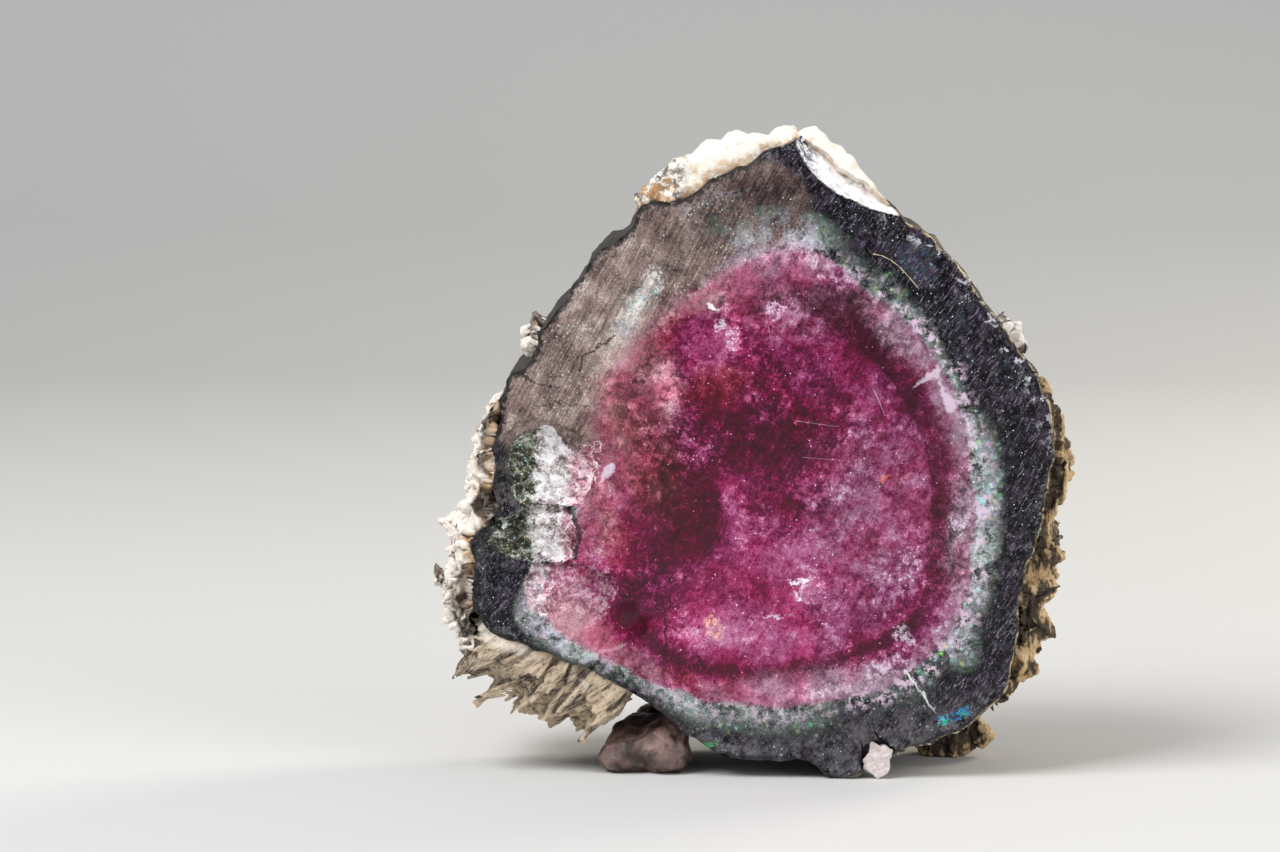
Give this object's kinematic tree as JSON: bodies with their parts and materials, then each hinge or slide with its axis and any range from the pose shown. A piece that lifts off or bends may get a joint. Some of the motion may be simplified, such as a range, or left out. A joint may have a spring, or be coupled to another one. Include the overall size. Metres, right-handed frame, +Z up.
{
  "type": "watermelon tourmaline slice",
  "caption": "Thick sawn slice of a three-sided tourmaline crystal, pink inside a pale ring and a near-black rim, standing on its edge with feldspar rock on its sides.",
  "frame": {"origin": "middle of the object's footprint, on the surface it stands on", "axes": "+X to the right of a person facing the polished face, +Y from the polished face to the sawn back, +Z up towards the crystal's peak"},
  "size_m": [0.036, 0.011, 0.0361],
  "materials": {
    "tourmaline": "polished, translucent",
    "cream_feldspar": "rough",
    "tan_crust": "rough, flaky",
    "albite_blades": "bladed, silky",
    "grey_quartz": "smooth, waxy",
    "white_feldspar": "rough"
  },
  "bodies": {
    "root": {"tourmaline_slice": "tourmaline", "top_crust": "cream_feldspar", "upper_right_flake": "tan_crust", "right_crust": "tan_crust", "left_crust": "cream_feldspar", "upper_left_flake": "cream_feldspar", "albite_blades": "albite_blades", "grey_foot": "grey_quartz", "white_chip": "white_feldspar", "rear_foot": "tan_crust"}
  },
  "joints": []
}
